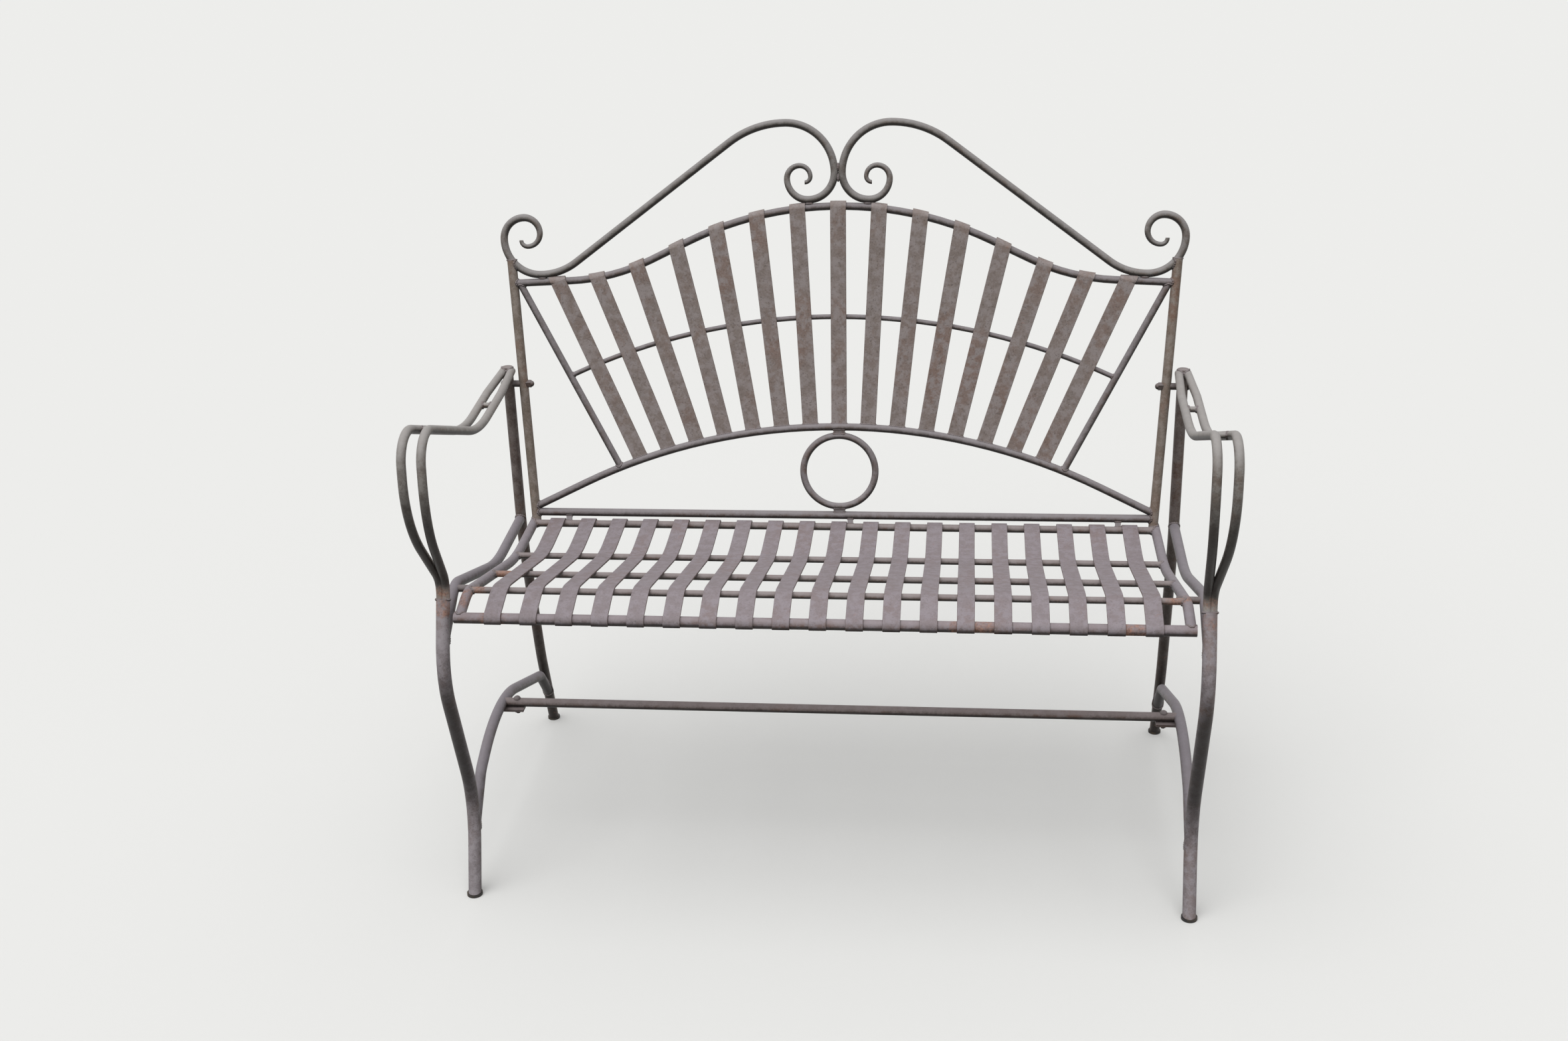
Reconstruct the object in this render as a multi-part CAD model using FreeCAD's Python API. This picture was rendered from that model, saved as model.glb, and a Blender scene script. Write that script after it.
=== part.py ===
import FreeCAD, Part
import math
import os

# Iron garden bench for two: a pair of bent-tube side frames carry a welded seat and a fan back.
# X runs along the bench, the front faces -Y, Z is up. The back's foot line is at Y 0 until the end,
# where the whole bench is centred over the origin. Every bent bar is given by the corners where its
# straight runs would meet and by the bend radius at each corner. All sizes are millimetres.

Vector = FreeCAD.Vector

# Bar and tube stock, outside diameters
LEG_TUBE = 20.0
REAR_LEG_TUBE = 17.5
ARCH_TUBE = 17.0
SUPPORT_TUBE = 16.0
BACK_POST_TUBE = 15.0
SEAT_SIDE_TUBE = 15.0
FRONT_RAIL_TUBE = 16.0
STRETCHER_TUBE = 14.5
TUBE_WALL = 1.5
FIT_GAP = 1.0
ARM_BAR = 13.0
ARM_SPACER_BAR = 9.0
REAR_RAIL_BAR = 12.0
CROSS_ROD = 10.0
BOTTOM_RAIL_BAR = 13.0
FAN_RAIL_BAR = 12.0
FAN_ARCH_BAR = 12.0
DIAGONAL_BAR = 11.0
MID_ROD = 8.0
RING_BAR = 11.0
SCROLL_BAR = 12.0
SCROLL_TIP = 6.5
SEAT_SLAT_WIDTH = 25.0
SLAT_THICK = 3.0
SLAT_EDGE_ROUND = 0.8

# Seat: the curve under the slats, from the rear rail over a dip and a crest to the front rail
SEAT_HEIGHT = 457.0
SEAT_REAR_Y = -12.0
SEAT_DIP_Y = -135.0
SEAT_DIP_DROP = 10.0
SEAT_DIP_BEND = 250.0
SEAT_CREST_Y = -385.0
SEAT_CREST_RISE = 49.0
SEAT_CREST_BEND = 60.0
SEAT_FRONT_Y = -437.0
SEAT_FRONT_RISE = 30.0
SEAT_HALF_REAR = 510.0
SEAT_HALF_FRONT = 518.5
FRONT_RAIL_OVERHANG = 7.5
SEAT_SIDE_PROUD = 0.3
SEAT_SLAT_COUNT = 19
SEAT_SLAT_EDGE = 42.0
SLAT_WRAP_FRONT = 100.0
SLAT_WRAP_REAR = 75.0
CROSS_ROD_YS = (-131.0, -262.0, -379.0)

# Side frames: front leg, rear leg, arch between them, arms
FRAME_GAP = 10.0
FOOT_Y = -426.0
ANKLE_Y = -378.0
ANKLE_Z = 140.0
ANKLE_BEND = 200.0
KNEE_Y = -463.0
KNEE_BELOW_SEAT = 62.0
KNEE_BEND = 150.0
LEG_TOP_Y = -421.0
LEG_TOP_RISE = 45.0
SUPPORT_BELOW_LEG_TOP = 64.0
SUPPORT_NOSE_BEND = 40.0
SUPPORT_CREST_HIGHER = 1.0
SUPPORT_CREST_BACK = 25.0
SUPPORT_REAR_LOWER = 12.0
SUPPORT_DIP_LOWER = 9.0
REAR_KNEE_Z = 400.0
REAR_KNEE_BEND = 500.0
REAR_ANKLE_SET = 50.0
REAR_ANKLE_Z = 150.0
REAR_ANKLE_BEND = 400.0
REAR_FOOT_SET = 100.0
ARCH_FRONT_Z = 92.0
ARCH_FRONT_BEND = 60.0
ARCH_SHOULDER_SET = 64.0
ARCH_SHOULDER_RISE = 72.0
ARCH_CROWN_Y = -200.0
ARCH_CROWN_Z = 224.0
ARCH_CROWN_BEND = 260.0
ARCH_HEEL_Y = 66.0
ARCH_HEEL_Z = 124.0
ARCH_HEEL_BEND = 24.0
ARCH_REAR_Z = 66.0
ARM_LIFT = 26.0
ARM_FOOT_BEND = 40.0
ARM_FRONT_Y = -502.0
ARM_FRONT_RISE = 194.0
ARM_FRONT_BEND = 170.0
KNUCKLE_Y = -487.0
KNUCKLE_RISE = 330.0
KNUCKLE_BEND = 42.0
ARM_DIP_Y = -200.0
ARM_DIP_RISE = 224.0
ARM_DIP_BEND = 250.0
ARM_LENS_Y = -55.0
ARM_LENS_BEND = 200.0
ARM_SPREAD = 28.0
ARM_LENS_SPREAD = 23.0
ARM_TOUCH_GAP = 0.3
ARM_ABOVE_BOLT = 22.0
ARM_SPACER_YS = (-405.0, -103.0)
REAR_LEG_ABOVE_ARM = 0.5
END_WALL = 3.0

# Feet: round plugs under the four tubes
PLUG_FLANGE = 24.0
REAR_PLUG_FLANGE = 21.5
PLUG_THICK = 4.0
PLUG_STEM = 14.0
PLUG_CLEARANCE = 0.15

# Stretcher between the two arches, bolted down on a tab at each end
STRETCHER_Y = -176.0
TAB_WIDTH = 26.0
TAB_THICK = 4.0
STRETCHER_BOLT_INSET = 16.0
TAB_END = 12.0

# Seat bolts, just ahead of the front cross rod
SEAT_BOLT_Y = -364.0

# Back: leaning panel, heights measured along it from the bottom rail
RECLINE = 10.0
BOTTOM_RAIL_RISE = 16.0
POST_INSET = 3.0
POST_SPLAY = 3.15
POST_PAST = 8.0
BOLT_HEIGHT = 215.0
TOP_END_HEIGHT = 379.0
TOP_SHOULDER_X = 365.0
TOP_SHOULDER_HEIGHT = 386.0
TOP_SHOULDER_BEND = 340.0
TOP_CROWN_HEIGHT = 559.5
TOP_CROWN_BEND = 560.0
LOW_ARCH_END_HEIGHT = 8.0
LOW_ARCH_CROWN_HEIGHT = 255.0
LOW_ARCH_CROWN_BEND = 966.0
MID_ROD_END_HEIGHT = 228.0
MID_ROD_PEAK_HEIGHT = 325.0
MID_ROD_GAP = 0.1
DIAGONAL_FOOT_X = 361.0
DIAGONAL_TOP_X = 518.0
BACK_SLAT_COUNT = 15
BACK_SLAT_WIDTH = 25.0
BACK_SLAT_TOP_PITCH = 64.7
BACK_SLAT_FOOT_PITCH = 46.6
BACK_SLAT_LAP = 2.0
BACK_SLAT_LAP_THINNING = 0.4
BACK_SLAT_RAIL_GAP = 0.3
RING_PAD = 3.0
RING_PAD_WIDTH = 18.0
RING_PAD_DEPTH = 8.0

# Scroll on top of the back, bend radii in order from its peak to each tip
CURL_BENDS = (77.0, 42.0, 33.0, 20.0, 17.0, 9.0)
CURL_PLAIN_BENDS = 2
PEAK_BEND = 150.0
RUN_SLOPE = 36.5
HOLLOW_BEND = 100.0
VOLUTE_BENDS = (57.0, 34.0, 25.0, 21.0, 10.0)
VOLUTE_PLAIN_BENDS = 2

# Links that tie the back's bottom rail to the seat's rear rail
LINK_GAP = 1.0
LINK_WIDTH = 9.0
LINK_THICK = 5.0

# Fasteners
BOLT = 6.0
BOLT_CLEARANCE = 0.4
BOLT_HEAD = 12.0
BOLT_HEAD_HEIGHT = 4.5
BOLT_TAIL = 3.0
NUT_ACROSS = 11.5
NUT_HEIGHT = 5.0
CAP_NUT_DOME = 5.0
CAP_NUT_STEP = 1.0
SPACER_TUBE = 11.0
THREAD_GAP = 0.1

# Places that several pieces share
FRAME_HALF = SEAT_HALF_FRONT + SEAT_SIDE_TUBE / 2 + FRAME_GAP + SUPPORT_TUBE / 2
REAR_RAIL_DROP = REAR_RAIL_BAR / 2
BACK_FOOT_Z = SEAT_HEIGHT - REAR_RAIL_DROP + BOTTOM_RAIL_RISE
BACK_HALF = SEAT_HALF_REAR - POST_INSET
LEAN = math.radians(RECLINE)
REAR_LEG_Y = BOLT_HEIGHT * math.sin(LEAN)
BOLT_Z = BACK_FOOT_Z + BOLT_HEIGHT * math.cos(LEAN)
ARM_REAR_Z = BOLT_Z + ARM_ABOVE_BOLT
LEG_TOP_Z = SEAT_HEIGHT + LEG_TOP_RISE
HOLE = BOLT + BOLT_CLEARANCE
REACH = 3000.0

parts = {}


def bend(points, radii):
    """A wire along the points, with each inner corner rounded to its radius."""
    edges = []
    start = points[0]
    for before, corner, after, radius in zip(points, points[1:], points[2:], radii):
        back_way = (before - corner).normalize()
        on_way = (after - corner).normalize()
        half = back_way.getAngle(on_way) / 2
        tangent = radius / math.tan(half)
        middle = corner + (back_way + on_way).normalize() * (radius / math.sin(half) - radius)
        enter = corner + back_way * tangent
        leave = corner + on_way * tangent
        edges.append(Part.LineSegment(start, enter).toShape())
        edges.append(Part.Arc(enter, middle, leave).toShape())
        start = leave
    edges.append(Part.LineSegment(start, points[-1]).toShape())
    return Part.Wire(edges)


def ring_at(point, direction, diameter):
    return Part.Wire([Part.Circle(point, direction, diameter / 2).toShape()])


def sweep(wire, diameter, end_diameter=None):
    """A round bar along a wire, tapering if it has an end diameter."""
    first = wire.OrderedEdges[0]
    start = first.FirstParameter
    rings = [ring_at(first.valueAt(start), first.tangentAt(start), diameter)]
    if end_diameter:
        last = wire.OrderedEdges[-1]
        end = last.LastParameter
        rings.append(ring_at(last.valueAt(end), last.tangentAt(end), end_diameter))
    return wire.makePipeShell(rings, True, False)


def rod(start, end, diameter):
    along = end - start
    return Part.makeCylinder(diameter / 2, along.Length, start, along)


def one_solid(shape):
    return max(shape.Solids, key=lambda solid: solid.Volume)


def mirrored(shape):
    return shape.mirror(Vector(0, 0, 0), Vector(1, 0, 0))


def both_sides(name, shape):
    """The piece modelled on the +X side and its mirror image, as two nodes."""
    parts["right_" + name] = shape
    parts["left_" + name] = mirrored(shape)


def offset_corners(points, distance):
    """Corners of a Y, Z outline that runs forward, moved up by a distance square to its runs."""
    lines = []
    for (y0, z0), (y1, z1) in zip(points, points[1:]):
        length = math.hypot(y1 - y0, z1 - z0)
        normal = ((z1 - z0) / length * distance, -(y1 - y0) / length * distance)
        lines.append(((y0 + normal[0], z0 + normal[1]), (y1 - y0, z1 - z0)))
    moved = [lines[0][0]]
    for (point, way), (other, turn) in zip(lines, lines[1:]):
        cross = way[0] * turn[1] - way[1] * turn[0]
        step = ((other[0] - point[0]) * turn[1] - (other[1] - point[1]) * turn[0]) / cross
        moved.append((point[0] + way[0] * step, point[1] + way[1] * step))
    point, way = lines[-1]
    moved.append((point[0] + way[0], point[1] + way[1]))
    return moved


def toward(start, end, distance):
    """The Y, Z point a distance from start on the line to end; negative runs past start."""
    length = math.hypot(end[0] - start[0], end[1] - start[1])
    return (start[0] + (end[0] - start[0]) * distance / length,
            start[1] + (end[1] - start[1]) * distance / length)


def side_points(corners, x):
    return [Vector(x, y, z) for y, z in corners]


def at_height(wire, z):
    """Where a wire in a side plane crosses a height."""
    x = wire.Vertexes[0].X
    level = Part.makeLine(Vector(x, -REACH, z), Vector(x, REACH, z))
    return wire.distToShape(level)[1][0][0]


def at_depth(wire, y):
    """Where a wire in a side plane crosses a Y, and its direction there."""
    x = wire.Vertexes[0].X
    upright = Part.makeLine(Vector(x, y, -REACH), Vector(x, y, REACH))
    point = wire.distToShape(upright)[1][0][0]
    edge = min(wire.Edges, key=lambda e: e.distToShape(Part.Vertex(point))[0])
    return point, edge.tangentAt(edge.Curve.parameter(point)).normalize()


def at_x(wire, x):
    """Where a wire in the upright back plane crosses an X."""
    upright = Part.makeLine(Vector(x, 0, -REACH), Vector(x, 0, REACH))
    return wire.distToShape(upright)[1][0][0]


# Seat curve and the bars that lie under it
SEAT_CORNERS = [(SEAT_REAR_Y, SEAT_HEIGHT),
                (SEAT_DIP_Y, SEAT_HEIGHT - SEAT_DIP_DROP),
                (SEAT_CREST_Y, SEAT_HEIGHT + SEAT_CREST_RISE),
                (SEAT_FRONT_Y, SEAT_HEIGHT + SEAT_FRONT_RISE)]
SIDE_DROP = SEAT_SIDE_TUBE / 2 - SEAT_SIDE_PROUD
SIDE_CORNERS = offset_corners(SEAT_CORNERS, -SIDE_DROP)
FRONT_RAIL_AXIS = offset_corners(SEAT_CORNERS, -FRONT_RAIL_TUBE / 2)[-1]
REAR_RAIL_AXIS = offset_corners(SEAT_CORNERS, -REAR_RAIL_DROP)[0]
SEAT_CURVE = bend(side_points(SEAT_CORNERS, 0), (SEAT_DIP_BEND, SEAT_CREST_BEND))


def dropped(bends, drop):
    """Bend radii of the seat's dip and crest for a bar whose axis is a drop below the curve."""
    return bends[0] + drop, bends[1] - drop


def seat_half(y):
    """The seat's side rail axis in X at a Y: the seat widens towards the front."""
    share = (y - REAR_RAIL_AXIS[0]) / (FRONT_RAIL_AXIS[0] - REAR_RAIL_AXIS[0])
    return SEAT_HALF_REAR + (SEAT_HALF_FRONT - SEAT_HALF_REAR) * share


# Front leg
LEG_CORNERS = [(FOOT_Y, 0), (ANKLE_Y, ANKLE_Z), (KNEE_Y, SEAT_HEIGHT - KNEE_BELOW_SEAT),
               (LEG_TOP_Y, LEG_TOP_Z)]
LEG_BENDS = (ANKLE_BEND, KNEE_BEND)
LEG_WIRE = bend(side_points(LEG_CORNERS, FRAME_HALF), LEG_BENDS)


def leg_tube(corners, bends, diameter):
    """The filled tube, cut level over its foot plug, and its bore, closed at the top."""
    low = toward(corners[0], corners[1], -diameter)
    path = [low] + corners[1:]
    bore_path = path[:-1] + [toward(corners[-1], corners[-2], END_WALL)]
    ground = Part.makeBox(REACH, REACH, REACH, Vector(0, -REACH / 2, PLUG_THICK - REACH))
    filled = sweep(bend(side_points(path, FRAME_HALF), bends), diameter).cut(ground)
    bore_wire = bend(side_points(bore_path, FRAME_HALF), bends)
    return one_solid(filled), sweep(bore_wire, diameter - 2 * TUBE_WALL)


def foot_plug(corners, diameter, flange):
    """A round foot under a tube with a stem up its bore."""
    foot = Vector(FRAME_HALF, *corners[0])
    along = Vector(0, corners[1][0] - corners[0][0], corners[1][1] - corners[0][1]).normalize()
    stem_width = diameter - 2 * TUBE_WALL - 2 * PLUG_CLEARANCE
    disc = Part.makeCylinder(flange / 2, PLUG_THICK, foot)
    stem = rod(foot, foot + along * (PLUG_THICK + PLUG_STEM), stem_width)
    floor = Part.makeBox(REACH, REACH, REACH, Vector(0, -REACH / 2, -REACH))
    return one_solid(disc.fuse(stem).cut(floor).removeSplitter())


leg_solid, leg_bore = leg_tube(LEG_CORNERS, LEG_BENDS, LEG_TUBE)
both_sides("front_leg", leg_solid.cut(leg_bore))

# Rear leg
REAR_TOP_Z = ARM_REAR_Z + ARM_BAR / 2 + REAR_LEG_ABOVE_ARM
REAR_CORNERS = [(REAR_LEG_Y + REAR_FOOT_SET, 0), (REAR_LEG_Y + REAR_ANKLE_SET, REAR_ANKLE_Z),
                (REAR_LEG_Y, REAR_KNEE_Z), (REAR_LEG_Y, REAR_TOP_Z)]
REAR_BENDS = (REAR_ANKLE_BEND, REAR_KNEE_BEND)
REAR_WIRE = bend(side_points(REAR_CORNERS, FRAME_HALF), REAR_BENDS)
rear_solid, rear_bore = leg_tube(REAR_CORNERS, REAR_BENDS, REAR_LEG_TUBE)

# Seat support rail: from the rear leg along the seat curve, down to the front leg
support_rear = (SIDE_CORNERS[0][0], SIDE_CORNERS[0][1] - SUPPORT_REAR_LOWER)
support_dip = (SIDE_CORNERS[1][0], SIDE_CORNERS[1][1] - SUPPORT_DIP_LOWER)
support_crest = (SIDE_CORNERS[2][0] + SUPPORT_CREST_BACK, SIDE_CORNERS[2][1] + SUPPORT_CREST_HIGHER)
support_lead = toward(support_rear, support_dip, support_rear[0] - REAR_LEG_Y)
support_nose = at_height(LEG_WIRE, LEG_TOP_Z - SUPPORT_BELOW_LEG_TOP)
support_corners = [support_lead, support_dip, support_crest, (support_nose.y, support_nose.z)]
support_bends = (SEAT_DIP_BEND + SIDE_DROP, SUPPORT_NOSE_BEND)
support_wire = bend(side_points(support_corners, FRAME_HALF), support_bends)
support_solid = one_solid(sweep(support_wire, SUPPORT_TUBE).cut(leg_solid).cut(rear_solid))
support_bore = sweep(support_wire, SUPPORT_TUBE - 2 * TUBE_WALL)

# Arch between the front and rear leg
arch_front = at_height(LEG_WIRE, ARCH_FRONT_Z)
arch_rear = at_height(REAR_WIRE, ARCH_REAR_Z)
ARCH_CORNERS = [(arch_front.y, arch_front.z),
                (arch_front.y + ARCH_SHOULDER_SET, arch_front.z + ARCH_SHOULDER_RISE),
                (ARCH_CROWN_Y, ARCH_CROWN_Z),
                (ARCH_HEEL_Y, ARCH_HEEL_Z),
                (arch_rear.y, arch_rear.z)]
ARCH_BENDS = (ARCH_FRONT_BEND, ARCH_CROWN_BEND, ARCH_HEEL_BEND)
ARCH_WIRE = bend(side_points(ARCH_CORNERS, FRAME_HALF), ARCH_BENDS)
arch_solid = one_solid(sweep(ARCH_WIRE, ARCH_TUBE).cut(leg_solid).cut(rear_solid))
both_sides("leg_arch", one_solid(arch_solid.cut(sweep(ARCH_WIRE, ARCH_TUBE - 2 * TUBE_WALL))))

# Arms: two bars, flattened together on the leg top, that spread at the knuckle and meet at the rear leg
ARM_START = toward(LEG_CORNERS[-1], LEG_CORNERS[-2], -ARM_LIFT)
ARM_LENS_SHARE = (ARM_LENS_Y - ARM_DIP_Y) / (REAR_LEG_Y - ARM_DIP_Y)
ARM_DIP_Z = SEAT_HEIGHT + ARM_DIP_RISE
ARM_PROFILE = [LEG_CORNERS[-1], ARM_START,
               (ARM_FRONT_Y, SEAT_HEIGHT + ARM_FRONT_RISE),
               (KNUCKLE_Y, SEAT_HEIGHT + KNUCKLE_RISE),
               (ARM_DIP_Y, ARM_DIP_Z),
               (ARM_LENS_Y, ARM_DIP_Z + (ARM_REAR_Z - ARM_DIP_Z) * ARM_LENS_SHARE),
               (REAR_LEG_Y, ARM_REAR_Z)]
ARM_BENDS = (ARM_FOOT_BEND, ARM_FRONT_BEND, KNUCKLE_BEND, ARM_DIP_BEND, ARM_LENS_BEND)
TOUCH = (ARM_BAR + ARM_TOUCH_GAP) / 2
WIDE = ARM_SPREAD / 2
LENS_WIDE = ARM_LENS_SPREAD / 2
ON_LEG = (LEG_TUBE - ARM_BAR) / 2
ARM_SETS = (ON_LEG, ON_LEG, WIDE, WIDE, LENS_WIDE, LENS_WIDE, TOUCH)


def arm_bar(side):
    """One arm bar: side is 1 for the outer, -1 for the inner."""
    points = [Vector(FRAME_HALF + side * apart, y, z) for (y, z), apart in zip(ARM_PROFILE, ARM_SETS)]
    flat = FRAME_HALF + side * ARM_TOUCH_GAP / 2
    corner = Vector(min(flat, flat - side * REACH), ARM_DIP_Y - REACH, 0)
    other_half = Part.makeBox(REACH, REACH, REACH, corner)
    return one_solid(sweep(bend(points, ARM_BENDS), ARM_BAR).cut(other_half).cut(rear_solid))


arm_outer = arm_bar(1)
arm_inner = arm_bar(-1)
both_sides("arm_outer", arm_outer)
both_sides("arm_inner", arm_inner)
arm_wire = bend(side_points(ARM_PROFILE[:-2] + ARM_PROFILE[-1:], FRAME_HALF), ARM_BENDS[:-1])
arm_spacers = []
for spacer_y in ARM_SPACER_YS:
    place = at_depth(arm_wire, spacer_y)[0]
    across = Vector(WIDE, 0, 0)
    spacer = rod(place - across, place + across, ARM_SPACER_BAR)
    spacer = one_solid(spacer.cut(arm_outer).cut(arm_inner))
    arm_spacers += [spacer, mirrored(spacer)]
parts["arm_spacers"] = Part.makeCompound(arm_spacers)

# Foot plugs
plugs = [foot_plug(LEG_CORNERS, LEG_TUBE, PLUG_FLANGE),
         foot_plug(REAR_CORNERS, REAR_LEG_TUBE, REAR_PLUG_FLANGE)]
parts["foot_plugs"] = Part.makeCompound(plugs + [mirrored(plug) for plug in plugs])

# Stretcher, with a tab under each end
stretcher_end = at_depth(ARCH_WIRE, STRETCHER_Y)[0]
stretcher_axis_z = stretcher_end.z
STRETCHER_BOLT_X = FRAME_HALF - ARCH_TUBE / 2 - STRETCHER_BOLT_INSET
tab_top = stretcher_axis_z - STRETCHER_TUBE / 2
tab_reach = ARCH_TUBE / 2 + STRETCHER_BOLT_INSET + TAB_END
tab = Part.makeBox(tab_reach, TAB_WIDTH, TAB_THICK,
                   Vector(FRAME_HALF - tab_reach, STRETCHER_Y - TAB_WIDTH / 2, tab_top - TAB_THICK))
stretcher_hole = rod(Vector(STRETCHER_BOLT_X, STRETCHER_Y, tab_top - TAB_WIDTH),
                     Vector(STRETCHER_BOLT_X, STRETCHER_Y, tab_top + TAB_WIDTH), HOLE)
tab = one_solid(tab.cut(arch_solid).cut(stretcher_hole))
parts["stretcher_tabs"] = Part.makeCompound([tab, mirrored(tab)])
stretcher_from = Vector(-FRAME_HALF, STRETCHER_Y, stretcher_axis_z)
stretcher_to = Vector(FRAME_HALF, STRETCHER_Y, stretcher_axis_z)
stretcher_solid = rod(stretcher_from, stretcher_to, STRETCHER_TUBE)
stretcher_solid = stretcher_solid.cut(rod(stretcher_from, stretcher_to, STRETCHER_TUBE - 2 * TUBE_WALL))
for cutter in (arch_solid, stretcher_hole):
    stretcher_solid = stretcher_solid.cut(cutter).cut(mirrored(cutter))
parts["stretcher"] = one_solid(stretcher_solid)

# Seat frame: side rails, front rail, rear rail and cross rods
past_post = BACK_POST_TUBE / 2 + FIT_GAP
side_tail = toward(SIDE_CORNERS[0], SIDE_CORNERS[1], SIDE_CORNERS[0][0] - past_post)
side_path = [side_tail] + SIDE_CORNERS[1:]
side_wire = bend([Vector(seat_half(y), y, z) for y, z in side_path],
                 dropped((SEAT_DIP_BEND, SEAT_CREST_BEND), SIDE_DROP))
front_half = SEAT_HALF_FRONT + FRONT_RAIL_OVERHANG
front_from = Vector(-front_half, *FRONT_RAIL_AXIS)
front_to = Vector(front_half, *FRONT_RAIL_AXIS)
front_solid = rod(front_from, front_to, FRONT_RAIL_TUBE)
inside = Vector(END_WALL, 0, 0)
front_bore = rod(front_from + inside, front_to - inside, FRONT_RAIL_TUBE - 2 * TUBE_WALL)
parts["seat_front_rail"] = front_solid.cut(front_bore)
side_solid = one_solid(sweep(side_wire, SEAT_SIDE_TUBE).cut(front_solid))
side_bore = sweep(side_wire, SEAT_SIDE_TUBE - 2 * TUBE_WALL)


def between_side_rails(y, z, diameter):
    """A bar along X whose ends are fitted to the two side rails."""
    bar = rod(Vector(-seat_half(y), y, z), Vector(seat_half(y), y, z), diameter)
    return one_solid(bar.cut(side_solid).cut(mirrored(side_solid)))


rear_rail = between_side_rails(*REAR_RAIL_AXIS, REAR_RAIL_BAR)
parts["seat_rear_rail"] = rear_rail
cross_rods = []
for rod_y in CROSS_ROD_YS:
    under, forward = at_depth(SEAT_CURVE, rod_y)
    upward = Vector(0, forward.z, -forward.y)
    axis = under - upward * (CROSS_ROD / 2)
    cross_rods.append(between_side_rails(axis.y, axis.z, CROSS_ROD))
parts["seat_cross_rods"] = Part.makeCompound(cross_rods)

# Holes for the seat bolts, across the side rail and the support rail
bolt_depth = at_depth(bend(side_points(side_path, 0), dropped((SEAT_DIP_BEND, SEAT_CREST_BEND), SIDE_DROP)),
                      SEAT_BOLT_Y)[0]
seat_pin = Vector(seat_half(SEAT_BOLT_Y), SEAT_BOLT_Y, bolt_depth.z)
support_pin = Vector(FRAME_HALF, SEAT_BOLT_Y, bolt_depth.z)
seat_hole = rod(seat_pin - Vector(SEAT_SIDE_TUBE, 0, 0), support_pin + Vector(SUPPORT_TUBE, 0, 0), HOLE)
both_sides("seat_side_rail", one_solid(side_solid.cut(side_bore).cut(seat_hole)))
both_sides("seat_support", one_solid(support_solid.cut(support_bore).cut(seat_hole)))

# Seat slats: flat bars on the seat curve, wrapped over the front and rear rails
SLAT_PITCH = 2 * (SEAT_HALF_REAR - SEAT_SLAT_EDGE) / (SEAT_SLAT_COUNT - 1)


def turned(point, centre, degrees):
    """A Y, Z point turned about a centre, from +Y towards +Z."""
    angle = math.radians(degrees)
    y, z = point[0] - centre[0], point[1] - centre[1]
    return (centre[0] + y * math.cos(angle) - z * math.sin(angle),
            centre[1] + y * math.sin(angle) + z * math.cos(angle))


def wrap_arc(start, centre, degrees):
    """An arc edge from a Y, Z point round a rail, and the point where it ends."""
    middle = turned(start, centre, degrees / 2)
    end = turned(start, centre, degrees)
    return Part.Arc(*side_points([start, middle, end], 0)).toShape(), end


def slat_line(lift):
    """The slat's outline a lift above the seat curve, from its rear lip to its front lip."""
    corners = offset_corners(SEAT_CORNERS, lift)
    rear_lip, rear_end = wrap_arc(corners[0], REAR_RAIL_AXIS, -SLAT_WRAP_REAR)
    front_lip, front_end = wrap_arc(corners[-1], FRONT_RAIL_AXIS, SLAT_WRAP_FRONT)
    run = bend(side_points(corners, 0), dropped((SEAT_DIP_BEND, SEAT_CREST_BEND), -lift))
    return [rear_lip] + run.Edges + [front_lip], rear_end, front_end


under_edges, under_rear, under_front = slat_line(0.0)
top_edges, top_rear, top_front = slat_line(SLAT_THICK)
rear_close = Part.makeLine(*side_points([under_rear, top_rear], 0))
front_close = Part.makeLine(*side_points([under_front, top_front], 0))
slat_edges = Part.sortEdges(under_edges + top_edges + [rear_close, front_close])[0]
slat_face = Part.Face(Part.Wire(slat_edges))
slat_half = Vector(SEAT_SLAT_WIDTH / 2, 0, 0)
seat_slat = slat_face.translated(slat_half * -1).extrude(slat_half * 2)
long_edges = [edge for edge in seat_slat.Edges if edge.Length > SLAT_THICK + SLAT_EDGE_ROUND]
rolled = [edge for edge in long_edges if edge.Vertexes[0].X * edge.Vertexes[-1].X > 0]
seat_slat = one_solid(seat_slat.makeFillet(SLAT_EDGE_ROUND, rolled))
parts["seat_slat_centre"] = seat_slat
for number in range(1, SEAT_SLAT_COUNT // 2 + 1):
    pair = [seat_slat.translated(Vector(side * number * SLAT_PITCH, 0, 0)) for side in (-1, 1)]
    parts["seat_slat_pair_%d" % number] = Part.makeCompound(pair)


# Back panel: drawn upright in the X, Z plane with its foot line at Z 0, then leaned back
def leaned(shape):
    return shape.rotated(Vector(0, 0, 0), Vector(1, 0, 0), -RECLINE).translated(Vector(0, 0, BACK_FOOT_Z))


def upright(x, height, depth=0.0):
    return Vector(x, depth, height)


def post_x(height):
    return BACK_HALF + height * math.tan(math.radians(POST_SPLAY))


def half_and_mirror(corners):
    """The corners of a symmetrical bar from those of its +X half, the last one first."""
    right = [upright(x, height) for x, height in corners]
    left = [upright(-x, height) for x, height in corners if x > 0]
    return left + right[::-1]


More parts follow.
